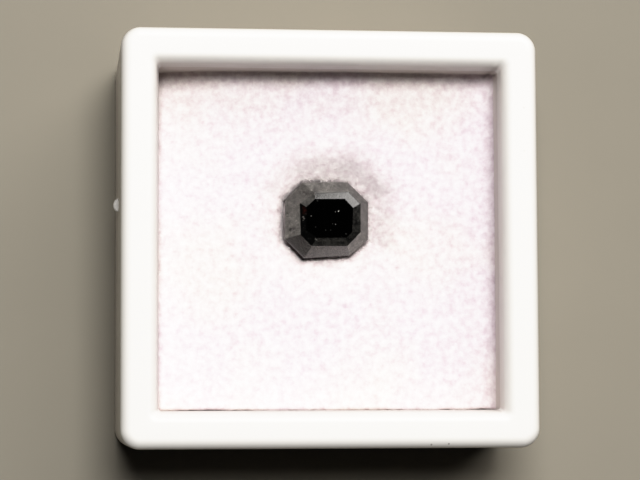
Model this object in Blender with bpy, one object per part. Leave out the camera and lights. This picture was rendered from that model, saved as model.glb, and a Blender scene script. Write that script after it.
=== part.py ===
"""A black step-cut diamond lying in the foam pad of a small white square display box.

Metres, +Z up. The origin is the middle of the box's underside, and the box stands on z = 0.
+X is to the right and +Y is away from a person who looks down on the open box.
"""

import math

import bmesh
import bpy

MM = 0.001
GAP = 0.3                       # clearance between neighbouring pieces

# Driving dimensions of the box, in millimetres
BOX_SIDE = 30.0
BOX_HEIGHT = 16.0
PARTING_HEIGHT = 8.4            # top of the base's outer wall
CORNER_RADIUS = 1.4             # upright corners, seen from above
FLOOR_THICKNESS = 1.2
BASE_EDGE_ROUND = 0.5           # the base's lower outer edge
SMALL_CORNER = 0.25             # nearly sharp inside corners

# The base's collar, which goes up inside the frame's skirt
COLLAR_TOP = 14.2
COLLAR_SIDE = 26.8
CAVITY_SIDE = 24.9

# The frame that forms the upper half
SKIRT_WALL = 1.3
LIP_UNDERSIDE = COLLAR_TOP + GAP
OPENING_SIDE = 24.56            # at the lip's lower edge
OUTER_EDGE_ROUND = 0.8          # width and height of the rounded outer top edge
BAND_END = 1.84                 # where the flat top band ends, measured in from the outside
INNER_ROUND_RUN = 0.78          # width of the rounded inner top edge
INNER_ROUND_DROP = 1.1          # its height
ROUND_STEPS = 6
SHARP_ANGLE = 35.0              # degrees; a steeper edge between two faces shows as an edge

# The small thumb tab low on the frame's left side
TAB_WIDTH = 1.0
TAB_PROUD = 0.37
TAB_TOP = 9.3
TAB_THICKNESS = 0.5
TAB_Y = 2.8
TAB_POINTS = 24

# The foam pad
PAD_SIDE = CAVITY_SIDE - 2 * GAP
PAD_BOTTOM = FLOOR_THICKNESS + GAP
PAD_TOP = 11.6
PAD_CORNER = 0.6
PAD_EDGE_ROUND = 0.4
CORNER_REACH = 4.0              # how far from a corner of the pad the stone's corner cuts fan out
DIMPLE_DEPTH = 0.55             # how far the stone has pressed the pad's face down
DIMPLE_REACH = 1.5              # distance from the stone at which most of that has faded
POCKET_GROWTH = 0.36            # how much wider the pocket is than the stone, all round
POINTS_PER_SIDE = 8             # points on each straight side of the stone's pocket
FACE_SHARES = (0.6, 0.36, 0.24, 0.16, 0.1, 0.05, 0.0)    # rings of the face, from rim to pocket

# The stone. A level is (height over the girdle's upper edge, length, width, corner cut, shift in x, y)
STONE_X = 0.17
STONE_Y = 1.65
GIRDLE_TOP = 11.15
GIRDLE_LENGTH = 6.12
GIRDLE_WIDTH = 5.6
GIRDLE_CUT = 1.4
GIRDLE_BAND = 0.16
STONE_LEVELS = (
    (1.08, 3.42, 2.84, 0.62, 0.08, 0.02),
    (0.86, 4.40, 3.90, 0.90, 0.19, -0.01),
    (0.00, GIRDLE_LENGTH, GIRDLE_WIDTH, GIRDLE_CUT, 0.0, 0.0),
    (-GIRDLE_BAND, GIRDLE_LENGTH, GIRDLE_WIDTH, GIRDLE_CUT, 0.0, 0.0),
    (-0.95, 4.96, 4.46, 1.12, 0.05, 0.0),
    (-1.75, 3.30, 2.80, 0.72, 0.08, 0.0),
    (-2.45, 0.90, 0.40, 0.10, 0.10, 0.0),
)

# Finishes: (colour as linear red, green and blue, roughness, metallic)
POLYSTYRENE = ((0.86, 0.86, 0.85), 0.35, 0.0)
FOAM = ((0.84, 0.81, 0.82), 0.95, 0.0)
DIAMOND = ((0.012, 0.012, 0.013), 0.12, 0.0)


def clear_scene():
    """Removes whatever the file opens with."""
    for thing in list(bpy.data.objects):
        bpy.data.objects.remove(thing, do_unlink=True)


def material(name, finish):
    """A Principled material from a colour, a roughness and a metallic value."""
    colour, roughness, metallic = finish
    made = bpy.data.materials.new(name)
    made.use_nodes = True
    shader = made.node_tree.nodes["Principled BSDF"]
    shader.inputs["Base Color"].default_value = (*colour, 1.0)
    shader.inputs["Roughness"].default_value = roughness
    shader.inputs["Metallic"].default_value = metallic
    return made


def rounded_square(side, radius, height, per_corner=ROUND_STEPS):
    """Points, anticlockwise, round a square whose corners have the given radius."""
    reach = side / 2 - radius
    points = []
    for quarter in range(4):
        start = quarter * math.pi / 2
        middle = start + math.pi / 4
        x = reach * math.copysign(1, math.cos(middle))
        y = reach * math.copysign(1, math.sin(middle))
        for step in range(per_corner + 1):
            angle = start + step / per_corner * math.pi / 2
            points.append((x + radius * math.cos(angle), y + radius * math.sin(angle), height))
    return points


def octagon(length, width, cut, height, x=0.0, y=0.0):
    """The eight corners, anticlockwise, of a rectangle with its corners cut off at 45 degrees."""
    a, b = length / 2, width / 2
    outline = ((a, -b + cut), (a, b - cut), (a - cut, b), (-a + cut, b),
               (-a, b - cut), (-a, -b + cut), (-a + cut, -b), (a - cut, -b))
    return [(x + u, y + v, height) for u, v in outline]


def loft(name, loops, finish, closed=False, smooth=False):
    """A solid made by bridging loops that all have the same number of points.

    The loops run anticlockwise seen from above. An open row of loops starts at the underside
    and gets a flat cap at both ends; a closed one joins its last loop to its first.
    """
    mesh = bmesh.new()
    rings = [[mesh.verts.new((x * MM, y * MM, z * MM)) for x, y, z in loop] for loop in loops]
    count = len(rings[0])
    pairs = list(zip(rings, rings[1:]))
    if closed:
        pairs.append((rings[-1], rings[0]))
    for low, high in pairs:
        for i in range(count):
            j = (i + 1) % count
            mesh.faces.new((low[i], low[j], high[j], high[i]))
    if not closed:
        mesh.faces.new(list(reversed(rings[0])))
        mesh.faces.new(rings[-1])
    bmesh.ops.recalc_face_normals(mesh, faces=mesh.faces)
    data = bpy.data.meshes.new(name)
    mesh.to_mesh(data)
    mesh.free()
    if smooth:
        data.shade_smooth()
        data.set_sharp_from_angle(angle=math.radians(SHARP_ANGLE))
    data.materials.append(finish)
    made = bpy.data.objects.new(name, data)
    bpy.context.collection.objects.link(made)
    return made


def quarter_round(run, drop, steps=ROUND_STEPS):
    """Pairs (run, drop) along a quarter ellipse that starts level and ends upright."""
    turns = [step / steps * math.pi / 2 for step in range(steps + 1)]
    return [(run * math.sin(turn), drop * (1 - math.cos(turn))) for turn in turns]


def box_base(finish):
    """The lower half: a tray with a collar that the frame's skirt goes round."""
    loops = []
    for run, drop in quarter_round(BASE_EDGE_ROUND, BASE_EDGE_ROUND):
        side = BOX_SIDE - 2 * (BASE_EDGE_ROUND - run)
        radius = CORNER_RADIUS - (BASE_EDGE_ROUND - run)
        loops.append(rounded_square(side, radius, drop))
    loops.append(rounded_square(BOX_SIDE, CORNER_RADIUS, PARTING_HEIGHT))
    loops.append(rounded_square(COLLAR_SIDE, SMALL_CORNER, PARTING_HEIGHT))
    loops.append(rounded_square(COLLAR_SIDE, SMALL_CORNER, COLLAR_TOP))
    loops.append(rounded_square(CAVITY_SIDE, SMALL_CORNER, COLLAR_TOP))
    loops.append(rounded_square(CAVITY_SIDE, SMALL_CORNER, FLOOR_THICKNESS))
    return loft("box_base", loops, finish, smooth=True)


def thumb_tab():
    """The half-round tab as a form to be joined to the frame: an oval disc with an upright axis."""
    mesh = bmesh.new()
    bmesh.ops.create_cone(mesh, cap_ends=True, segments=TAB_POINTS, radius1=MM, radius2=MM, depth=MM)
    bmesh.ops.scale(mesh, vec=(2 * TAB_PROUD, TAB_WIDTH / 2, TAB_THICKNESS), verts=mesh.verts)
    centre = (-BOX_SIDE / 2 + TAB_PROUD, TAB_Y, TAB_TOP - TAB_THICKNESS / 2)
    bmesh.ops.translate(mesh, vec=[MM * value for value in centre], verts=mesh.verts)
    data = bpy.data.meshes.new("tab_form")
    mesh.to_mesh(data)
    mesh.free()
    form = bpy.data.objects.new("tab_form", data)
    bpy.context.collection.objects.link(form)
    form.hide_render = True
    form.display_type = "WIRE"
    return form


def bezel_frame(finish):
    """The upper half: a skirt round the collar, and a lip with rounded edges round the opening."""
    band_side = BOX_SIDE - 2 * BAND_END
    skirt_inner = BOX_SIDE - 2 * SKIRT_WALL
    loops = [rounded_square(BOX_SIDE, CORNER_RADIUS, PARTING_HEIGHT + GAP)]
    for run, drop in reversed(quarter_round(OUTER_EDGE_ROUND, OUTER_EDGE_ROUND)):
        inset = OUTER_EDGE_ROUND - run
        loops.append(rounded_square(BOX_SIDE - 2 * inset, CORNER_RADIUS - inset, BOX_HEIGHT - drop))
    for run, drop in quarter_round(INNER_ROUND_RUN, INNER_ROUND_DROP):
        loops.append(rounded_square(band_side - 2 * run, SMALL_CORNER, BOX_HEIGHT - drop))
    loops.append(rounded_square(OPENING_SIDE, SMALL_CORNER, LIP_UNDERSIDE))
    loops.append(rounded_square(skirt_inner, SMALL_CORNER, LIP_UNDERSIDE))
    loops.append(rounded_square(skirt_inner, SMALL_CORNER, PARTING_HEIGHT + GAP))
    frame = loft("bezel_frame", loops, finish, closed=True, smooth=True)
    join = frame.modifiers.new("thumb_tab", "BOOLEAN")
    join.operation = "UNION"
    join.solver = "EXACT"
    join.object = thumb_tab()
    return frame


def along(points, per_side):
    """The same closed outline with each of its sides divided into equal stretches."""
    divided = []
    for i, (x0, y0, z0) in enumerate(points):
        x1, y1, z1 = points[(i + 1) % len(points)]
        for step in range(per_side):
            t = step / per_side
            divided.append((x0 + (x1 - x0) * t, y0 + (y1 - y0) * t, z0 + (z1 - z0) * t))
    return divided


def pad_outline(side, radius):
    """Points round the pad, as many as round the stone's pocket and in the same order.

    Each side of the square belongs to a long side of the stone, and each corner to a corner cut.
    """
    reach = side / 2 - radius
    straight = side / 2 - CORNER_REACH
    quarter = [(side / 2, -straight + 2 * straight * step / POINTS_PER_SIDE)
               for step in range(POINTS_PER_SIDE)]
    share = POINTS_PER_SIDE // 4
    quarter += [(side / 2, straight + (reach - straight) * step / share) for step in range(share)]
    for step in range(2 * share):
        angle = step / (2 * share) * math.pi / 2
        quarter.append((reach + radius * math.cos(angle), reach + radius * math.sin(angle)))
    quarter += [(reach - (reach - straight) * step / share, side / 2) for step in range(share)]
    points = []
    for turn in range(4):
        cos, sin = ((1, 0), (0, 1), (-1, 0), (0, -1))[turn]
        points += [(x * cos - y * sin, x * sin + y * cos) for x, y in quarter]
    return points


def pad_height(distance):
    """Height of the pad's face at a distance from the pocket's edge."""
    return PAD_TOP - DIMPLE_DEPTH * math.exp(-(distance / DIMPLE_REACH) ** 2)


def foam_pad(finish):
    """The white pad: a block with rounded top edges, a soft dimple, and a pocket for the stone."""
    def stone_outline(level, growth, height):
        _, length, width, cut, x, y = STONE_LEVELS[level]
        grown = octagon(length + 2 * growth, width + 2 * growth, cut + growth * (2 - math.sqrt(2)),
                        height, STONE_X + x, STONE_Y + y)
        return along(grown, POINTS_PER_SIDE)

    mouth = stone_outline(2, POCKET_GROWTH, 0.0)
    rim = pad_outline(PAD_SIDE, PAD_CORNER)
    shoulder = pad_outline(PAD_SIDE - 2 * PAD_EDGE_ROUND, PAD_CORNER)

    loops = [[(x, y, PAD_BOTTOM) for x, y in rim]]
    for run, drop in reversed(quarter_round(PAD_EDGE_ROUND, PAD_EDGE_ROUND)):
        t = run / PAD_EDGE_ROUND
        loops.append([(a + (c - a) * t, b + (d - b) * t, PAD_TOP - drop)
                      for (a, b), (c, d) in zip(shoulder, rim)])
    for share in FACE_SHARES:
        loop = []
        for (x, y, _), (a, b) in zip(mouth, shoulder):
            distance = share * math.hypot(a - x, b - y)
            loop.append((x + (a - x) * share, y + (b - y) * share, pad_height(distance)))
        loops.append(loop)
    girdle_underside = GIRDLE_TOP - GIRDLE_BAND - GAP
    loops.append(stone_outline(3, POCKET_GROWTH, girdle_underside))
    for level in range(4, len(STONE_LEVELS)):
        height = GIRDLE_TOP + STONE_LEVELS[level][0] - GAP
        loops.append(stone_outline(level, POCKET_GROWTH, height))
    return loft("foam_pad", loops, finish, smooth=True)


def black_diamond(finish):
    """The stone: table, two crown steps, girdle and three pavilion steps down to a short keel."""
    loops = []
    for rise, length, width, cut, x, y in reversed(STONE_LEVELS):
        loops.append(octagon(length, width, cut, GIRDLE_TOP + rise, STONE_X + x, STONE_Y + y))
    return loft("black_diamond", loops, finish)


def main():
    clear_scene()
    plastic = material("white_polystyrene", POLYSTYRENE)
    box_base(plastic)
    bezel_frame(plastic)
    foam_pad(material("white_foam", FOAM))
    black_diamond(material("black_diamond", DIAMOND))


main()
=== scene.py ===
"""The looks of a black step-cut diamond in the foam pad of a small white display box.

Lengths are in metres and every piece is placed in the frame of the packed model. The box
stands on z = 0 with its middle over the origin, +X is to the right and +Y is away from a
person who looks down on it.
"""

import math

import bpy
import numpy as np
from bpy.props import FloatProperty, FloatVectorProperty, IntProperty, PointerProperty
from bpy.types import Operator, Panel, PropertyGroup
from mathutils import Matrix, Vector


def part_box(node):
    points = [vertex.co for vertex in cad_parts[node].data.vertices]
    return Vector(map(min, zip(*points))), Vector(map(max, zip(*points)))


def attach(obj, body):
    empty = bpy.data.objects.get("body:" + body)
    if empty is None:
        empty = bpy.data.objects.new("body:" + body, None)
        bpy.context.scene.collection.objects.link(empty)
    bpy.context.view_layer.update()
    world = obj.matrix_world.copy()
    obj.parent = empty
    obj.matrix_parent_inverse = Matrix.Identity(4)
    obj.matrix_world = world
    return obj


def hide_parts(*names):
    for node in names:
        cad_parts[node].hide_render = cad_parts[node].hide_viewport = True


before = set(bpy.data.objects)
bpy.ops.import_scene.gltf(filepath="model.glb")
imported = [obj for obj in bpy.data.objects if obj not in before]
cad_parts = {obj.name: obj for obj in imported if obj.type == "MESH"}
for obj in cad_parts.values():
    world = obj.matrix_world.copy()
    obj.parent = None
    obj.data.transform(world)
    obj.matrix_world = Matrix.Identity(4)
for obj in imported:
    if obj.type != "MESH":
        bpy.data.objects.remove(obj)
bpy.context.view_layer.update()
FRAME_LOW, FRAME_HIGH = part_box("bezel_frame")
PAD_LOW, PAD_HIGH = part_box("foam_pad")

bl_info = {
    "name": "Black diamond in a display box",
    "version": (1, 0, 0),
    "blender": (4, 5, 0),
    "location": "3D View > Sidebar > Gem box",
    "description": "Builds a step-cut black diamond in the foam pad of a white display box",
    "category": "Object",
}

MM = 0.001
BODY = "root"

# The box
BOX_SIDE = 2 * FRAME_HIGH.y
BOX_HEIGHT = FRAME_HIGH.z
CORNER_RADIUS = 1.4 * MM
PARTING_LEVEL = 8.4 * MM
COLLAR_SIDE = 26.8 * MM
CAVITY_SIDE = 24.9 * MM
TRAY_CORNER = 0.25 * MM
FLOOR_LEVEL = 1.2 * MM
FLOOR_FILLET = 0.4 * MM
SKIRT_WALL = 1.3 * MM
LIP_UNDERSIDE = 14.5 * MM
LIP_GAP = 0.03 * MM
OPENING_SIDE = 24.56 * MM
OPENING_CORNER = 0.22 * MM
BAND_END = 1.84 * MM
INNER_ROUND_RUN = 0.78 * MM
INNER_ROUND_DROP = 1.1 * MM
CORNER_GROWTH = 0.6  # of the opening's corner radius, for each length up the inner round
TAB_WIDTH = 1.0 * MM
TAB_PROUD = -FRAME_LOW.x - BOX_SIDE / 2
TAB_TOP = 9.3 * MM
TAB_THICKNESS = 0.5 * MM
TAB_Y = 2.8 * MM
TAB_SOFT = 0.12 * MM
TAB_INSET = 0.02 * MM
TAB_STEPS = 24
# Grains of dust on the frame: (x, y, radius, strength), in millimetres
DUST = ((13.96, 9.44, 0.10, 0.15), (13.96, 6.30, 0.10, 0.12),
        (7.05, -14.75, 0.09, 0.6), (8.30, -14.70, 0.09, 0.6))
DUST_COLOUR = "6E645E"

# The pad's outline and the spacing of its mesh, which is finer near the stone and at the rim
PAD_GAP = 0.004 * MM
PAD_FRONT = -12.27 * MM
FINE_STEP = 0.055 * MM
COARSE_STEP = 0.13 * MM
FINE_REACH_X = 3.8 * MM
FINE_REACH_Y = 3.6 * MM
RIM_LINES = (0.0, 0.02, 0.05, 0.1, 0.17, 0.25, 0.33)  # millimetres from the rim
RIM_END = 0.4 * MM
# The pad's face: the cell of its slow roll, and the nap's layers as (share of its height, cell in
# millimetres, seed)
ROLL_CELL = 4.2 * MM
NAP_LAYERS = ((1.0, 0.9, 2), (0.6, 0.38, 3), (0.35, 0.2, 4))
# How much deeper the dimple is on one side, and where that side lies
DIMPLE_LEAN = 0.33
DIMPLE_BEARING = math.radians(25)
# The narrow groove along the stone, shallower and steeper towards its bearing. Its widths are in
# millimetres, and its outline is ragged by layers of (height and cell in millimetres, seed).
GROOVE_DEPTH = 0.75 * MM
GROOVE_LEAN = 0.35
GROOVE_WIDTH = 0.21
GROOVE_WIDTH_LEAN = 0.05
GROOVE_BEARING = math.radians(45)
RAGGED_LAYERS = ((0.06, 0.4, 5), (0.04, 0.15, 8))
# The pocket that the stone fills
POCKET_SLOPE = 20
POCKET_DEPTH = 1.5 * MM
# The top left corner has sunk, and the face lifts along the right and the back wall
CORNER_SINK = 1.7 * MM
CORNER_REACH = (2.6, 2.2)
RIGHT_LIFT, RIGHT_LIFT_RUN = 0.7 * MM, 1.0 * MM
BACK_LIFT, BACK_LIFT_RUN = 0.25 * MM, 0.75 * MM
LEFT_ROUND = 0.8 * MM
FRONT_ROUND = 0.3 * MM
LOWEST_FACE = 3.6 * MM
RIM_FOOT = 4.0 * MM
# The frayed cut at the front: how deep it goes in, its raggedness, and bites as (x, width, bite),
# in millimetres
CUT_DEPTH = 0.8 * MM
CUT_RAGGED = 0.035
CUT_CELL = 0.4 * MM
CUT_BITES = ((11.6, 0.6, 0.09), (-8.0, 4.0, 0.035), (-3.9, 0.35, -0.07))
# Fibres stand closer in a ring round the stone: how much closer, its radius and its width
RING_FIBRES = 9
RING_MIDDLE = 0.3
RING_WIDTH = 0.3
# Fibres lie on faces that look up at least this much, nearly flat, and wave a little
FIBRE_UPWARD = 0.55
FIBRE_TILT = 0.06
FIBRE_SIZES = (0.45, 1.3)
FIBRE_POINTS = 6
FIBRE_WAVE = 0.3 * MM
FIBRE_BEND = (0.45 * MM, 0.45 * MM, 0.04 * MM)

# The stone. A level is a height over the girdle's upper edge and the eight corners of its outline,
# anticlockwise from the lower right, in millimetres from the girdle's middle.
STONE_X = 0.17 * MM
STONE_Y = 1.65 * MM
GIRDLE_LEVEL = 11.15 * MM
TABLE = ((1.75, -0.98), (1.81, 0.77), (1.20, 1.43), (-0.96, 1.43),
         (-1.61, 0.81), (-1.66, -0.83), (-0.81, -1.42), (1.34, -1.37))
STEP = ((2.39, -0.95), (2.39, 1.12), (1.50, 2.00), (-0.98, 1.87),
        (-2.05, 1.11), (-1.98, -1.17), (-1.17, -1.97), (1.43, -1.97))
GIRDLE = ((3.04, -1.45), (3.08, 1.30), (1.55, 2.78), (-1.77, 2.74),
          (-3.06, 1.43), (-3.08, -1.45), (-1.68, -2.84), (1.69, -2.61))
CROWN_LEVELS = ((1.08, TABLE), (0.86, STEP), (0.00, GIRDLE), (-0.16, GIRDLE))
# Below the girdle a level is (height, scale of the girdle's outline, shift to the right)
PAVILION_LEVELS = ((-0.95, 0.80, 0.05), (-1.75, 0.52, 0.08), (-2.45, 0.10, 0.10))
# How matt and how grey each facet is, from the right-hand one anticlockwise: (roughness, grey).
# The grey is partly frost and partly painted shading, lighter or darker facet by facet as light
# falls on it
STEP_FINISH_AND_SHADING = ((0.15, 0.05), (0.14, 0.01), (0.15, 0.01), (0.34, 0.10),
               (0.10, 0.00), (0.10, 0.00), (0.14, 0.06), (0.16, 0.03))
GIRDLE_FINISH_AND_SHADING = ((0.32, 0.13), (0.34, 0.14), (0.36, 0.21), (0.28, 0.14),
                 (0.34, 0.22), (0.20, 0.01), (0.24, 0.03), (0.32, 0.24))
TABLE_FINISH = ((0.05, 0.0),) * 8
RIM_FINISH = ((0.5, 0.0),) * 8
PAVILION_FINISH = ((0.3, 0.0),) * 8
FINISHES_AND_SHADING = (TABLE_FINISH, STEP_FINISH_AND_SHADING, GIRDLE_FINISH_AND_SHADING, RIM_FINISH) + (PAVILION_FINISH,) * 3
# The stone's mesh, in millimetres, and its noises as (cell, seed) or (share, cell, seed)
POINT_SPACING = 0.07
RING_SPACING = 0.8 * POINT_SPACING
TABLE_RINGS = 38
TABLE_START = 0.02
TABLE_REACH = 1.4
WIDEST_RUB = 0.3  # of a facet
RUB_NOISE = (0.35, 11)
WAVE_NOISE = (0.9, 12)
GREY_LAYERS = ((0.7, 0.4, 14), (1.0, 0.15, 15))
# Marks and scars lie above this height, and a pit has steeper sides than a bowl
MARKS_DOWN_TO = -0.2
PIT_PROFILE = 0.7
# Small scars on the crown, besides the marks: number, range of radius and of depth, frost
SCARS = 140
SCAR_RADIUS = (0.04, 0.09)
SCAR_DEPTH = (0.001, 0.006)
SCAR_FROST = 0.04
SCAR_TOP = 1.05
SCAR_SPREAD = (3.0, 2.75)
SCAR_SEED = 21
# Marks on the crown: (x, y, radius, depth, frost, rust), in millimetres from the girdle's middle
MARKS = (
    (0.747, 0.548, 0.05, 0.025, 1, 0), (0.527, 0.512, 0.038, 0.018, 0.6, 0),
    (-1.264, 0.183, 0.042, 0.018, 0.35, 0), (0.527, -0.402, 0.038, 0.015, 0.3, 0),
    (0.308, -0.38, 0.032, 0.012, 0.12, 0), (-0.935, -0.621, 0.038, 0.012, 0.14, 0),
    (-0.204, -0.841, 0.036, 0.012, 0.16, 0), (0.162, -0.841, 0.034, 0.012, 0.12, 0),
    (1.295, -1.111, 0.04, 0.012, 0.1, 0), (-0.789, 1.301, 0.045, 0.015, 0.2, 0),
    (-2.825, 0.426, 0.11, 0.08, 0, 0), (-2.79, 0.25, 0.08, 0.06, 0, 0),
    (-2.634, -0.822, 0.1, 0.07, 0, 0), (-2.7, -0.96, 0.07, 0.05, 0, 0),
    (-2.876, 1.012, 0.08, 0.05, 0, 0), (2.282, 1.798, 0.08, 0.05, 0, 0),
    (-1.189, 2.135, 0.055, 0.02, 0.8, 0), (2.678, -1.629, 0.12, 0.06, 0.2, 0),
    (-1.85, 0.12, 0.07, 0.025, 0.3, 0.3), (-1.79, 0.01, 0.06, 0.02, 0.22, 0.2),
    (-1.84, -0.12, 0.05, 0.015, 0.16, 0.3), (-1.8, 0.78, 0.13, 0.006, 0, 0.6),
    (-1.72, 0.58, 0.17, 0.008, 0, 0.9), (-1.8, 0.4, 0.12, 0.006, 0, 0.7),
    (-1.64, 0.33, 0.08, 0, 0.02, 0.4), (-0.94, -1.5, 0.06, 0.02, 0.3, 0),
    (-0.86, -1.56, 0.05, 0.015, 0.45, 0), (-0.64, -1.62, 0.12, 0.012, 0.07, 0.1),
    (-0.42, -1.78, 0.09, 0.01, 0.08, 0), (-0.26, -1.56, 0.1, 0.01, 0.06, 0.1),
    (0.02, -1.7, 0.12, 0.01, 0.05, 0), (0.26, -1.62, 0.08, 0.008, 0.05, 0.1),
)

# The stage. Lamps stand over the middle of the box's top: (place, diameter)
KEY_LAMP = ((-0.006, 0.059, 0.25), 0.095)
FILL_LAMP = ((0.34, 0.32, 0.21), 0.26)
LAMP_COLOUR = (0.97, 0.985, 1.0)
# Patches of the world: (direction, angles in degrees between which they fade)
WINDOW = ((0.332, 0.624, 0.707), (29, 9))
DARK_OVERHEAD = ((0.12, 0.08, 0.99), (24, 13))
WORLD_COLOUR = (1.0, 0.97, 0.94, 1.0)
# The picture's tone curve: (light, shown)
TONE = ((0.4, 0.4), (0.75, 0.76), (0.95, 0.91), (1.15, 0.975))
TONE_END = (1.45, 1.0)
TONE_REACH = 2.0
GAMMA = 0.8
FLOOR_REACH = 1.5
SENSOR_WIDTH = 36  # millimetres
CLIP_NEAR, CLIP_FAR = 0.01, 10


def linear(code):
    """Linear red, green and blue from a hex code in sRGB."""
    values = [int(code[i:i + 2], 16) / 255 for i in (0, 2, 4)]
    return tuple(v / 12.92 if v <= 0.04045 else ((v + 0.055) / 1.055) ** 2.4 for v in values)


class BoxSettings(PropertyGroup):
    """The moulded box."""

    parting_gap: FloatProperty(
        name="Parting gap", description="Gap that shows between base and frame",
        default=0.08 * MM, min=0.0, max=MM, unit="LENGTH", precision=5)
    outer_round: FloatProperty(
        name="Outer edge round", description="Radius of the frame's outer top edge",
        default=0.8 * MM, min=0.1 * MM, max=1.3 * MM, unit="LENGTH", precision=5)
    foot_round: FloatProperty(
        name="Foot round", description="Radius of the base's lower edge",
        default=0.5 * MM, min=0.1 * MM, max=1.3 * MM, unit="LENGTH", precision=5)
    small_round: FloatProperty(
        name="Small round", description="Radius of the edges at the parting line and the lip",
        default=0.1 * MM, min=0.02 * MM, max=0.3 * MM, unit="LENGTH", precision=5)
    plastic: FloatVectorProperty(
        name="Plastic", description="Colour of the moulded polystyrene",
        default=linear("E1DDD7"), min=0.0, max=1.0, size=3, subtype="COLOR")
    # Painted shade: the tray is the frame's plastic made darker and warmer, so the wall under the
    # lip looks shaded
    tray_plastic_painted_shade: FloatVectorProperty(
        name="Tray plastic", description="Colour of the tray's plastic, a shade duller and warmer",
        default=linear("D4CDC6"), min=0.0, max=1.0, size=3, subtype="COLOR")


class PadSettings(PropertyGroup):
    """The foam pad."""

    dimple_depth: FloatProperty(
        name="Dimple depth", description="How far the stone has pressed the pad's face down",
        default=1.0 * MM, min=0.0, max=2 * MM, unit="LENGTH", precision=5)
    dimple_reach: FloatProperty(
        name="Dimple reach", description="Distance from the stone over which the dimple fades",
        default=1.5 * MM, min=0.2 * MM, max=6 * MM, unit="LENGTH", precision=5)
    roll_height: FloatProperty(
        name="Roll height", description="Height of the slow rise and fall of the face",
        default=0.07 * MM, min=0.0, max=0.5 * MM, unit="LENGTH", precision=5)
    nap_height: FloatProperty(
        name="Nap height", description="Height of the small lumps of the felted face",
        default=0.035 * MM, min=0.0, max=0.2 * MM, unit="LENGTH", precision=5)
    fibre_length: FloatProperty(
        name="Fibre length", description="Length of a loose fibre",
        default=0.5 * MM, min=0.1 * MM, max=3 * MM, unit="LENGTH", precision=5)
    fibre_thickness: FloatProperty(
        name="Fibre thickness", description="Thickness of a fibre",
        default=0.012 * MM, min=0.005 * MM, max=0.2 * MM, unit="LENGTH", precision=6)
    fibre_density: FloatProperty(
        name="Fibre density", description="Fibres per square metre of the pad's face",
        default=4.5e6, min=0.0, max=1e8)
    seed: IntProperty(
        name="Seed", description="Where the fibres fall", default=7, min=0, max=1000)
    foam: FloatVectorProperty(
        name="Foam", description="Colour of the felted foam",
        default=linear("E6DDDF"), min=0.0, max=1.0, size=3, subtype="COLOR")
    # Also the tint of the painted shade in a ring round the stone
    foam_warm_and_shade: FloatVectorProperty(
        name="Foam, warm", description="Colour of the creamier stretches",
        default=linear("E8E0DB"), min=0.0, max=1.0, size=3, subtype="COLOR")
    foam_shade: FloatVectorProperty(
        name="Foam, shade", description="What multiplies the foam's colour between its fibres",
        default=linear("E6DEE2"), min=0.0, max=1.0, size=3, subtype="COLOR")


class StoneSettings(PropertyGroup):
    """The diamond."""

    wear: FloatProperty(
        name="Edge wear", description="Width of the rubbed edge between two facets",
        default=0.035 * MM, min=0.005 * MM, max=0.2 * MM, unit="LENGTH", precision=6)
    waviness: FloatProperty(
        name="Waviness", description="How far a facet departs from flat",
        default=0.003 * MM, min=0.0, max=0.05 * MM, unit="LENGTH", precision=6)
    black: FloatVectorProperty(
        name="Black", description="Body colour of the diamond",
        default=linear("030303"), min=0.0, max=1.0, size=3, subtype="COLOR")
    # Also the colour of the painted shading that lightens whole facets
    frost_and_shading: FloatVectorProperty(
        name="Frost", description="Colour of the unpolished pits and flecks",
        default=linear("B9B5AC"), min=0.0, max=1.0, size=3, subtype="COLOR")
    rust: FloatVectorProperty(
        name="Rust", description="Colour of the brownish inclusions near the surface",
        default=linear("2E0F0A"), min=0.0, max=1.0, size=3, subtype="COLOR")


class StudioSettings(PropertyGroup):
    """Camera, floor and light."""

    camera_x: FloatProperty(
        name="Camera x", description="Camera's place across, from the box's middle to the right",
        default=-19.3 * MM, unit="LENGTH", precision=5)
    camera_y: FloatProperty(
        name="Camera y", description="Camera's place along, from the box's middle to the back",
        default=-12.5 * MM, unit="LENGTH", precision=5)
    camera_height: FloatProperty(
        name="Camera height", description="Camera's height over the box's top",
        default=159 * MM, unit="LENGTH", precision=5)
    aim_x: FloatProperty(
        name="Aim x", description="Across: the point of the box's top in the picture's middle",
        default=-0.887 * MM, unit="LENGTH", precision=5)
    aim_y: FloatProperty(
        name="Aim y", description="Along: the point of the box's top in the picture's middle",
        default=-0.214 * MM, unit="LENGTH", precision=5)
    roll: FloatProperty(
        name="Roll", description="Turn of the camera about its own axis",
        default=math.radians(-0.229), subtype="ANGLE")
    lens: FloatProperty(
        name="Lens", description="Focal length in millimetres on a sensor 36 mm wide",
        default=127.05, min=10, max=500)
    key_strength: FloatProperty(
        name="Key light", description="Power of the lamp nearly overhead, in watts",
        default=0.89, min=0, max=100)
    window_strength: FloatProperty(
        name="Window light", description="Brightness of the bright patch that the facets reflect",
        default=3.0, min=0, max=100)
    ambient_strength: FloatProperty(
        name="Ambient light", description="Brightness of the light from all round",
        default=0.02, min=0, max=100)
    fill_strength: FloatProperty(
        name="Fill light", description="Power of the large soft lamp at the back right, in watts",
        default=0.42, min=0, max=100)
    floor: FloatVectorProperty(
        name="Floor", description="Colour of the plain floor",
        default=linear("958F83"), min=0.0, max=1.0, size=3, subtype="COLOR")


def add_node(tree, kind, inputs=None, **settings):
    """Adds a node to a tree, sets its properties, and fills or links its inputs.

    An input takes a value, a socket, or a node, which stands for its first output in use.
    """
    made = tree.nodes.new(kind)
    for name, value in settings.items():
        setattr(made, name, value)
    for key, value in (inputs or {}).items():
        if isinstance(value, bpy.types.Node):
            value = next(socket for socket in value.outputs if socket.enabled)
        if isinstance(value, bpy.types.NodeSocket):
            tree.links.new(value, made.inputs[key])
        else:
            made.inputs[key].default_value = value
    return made


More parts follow.
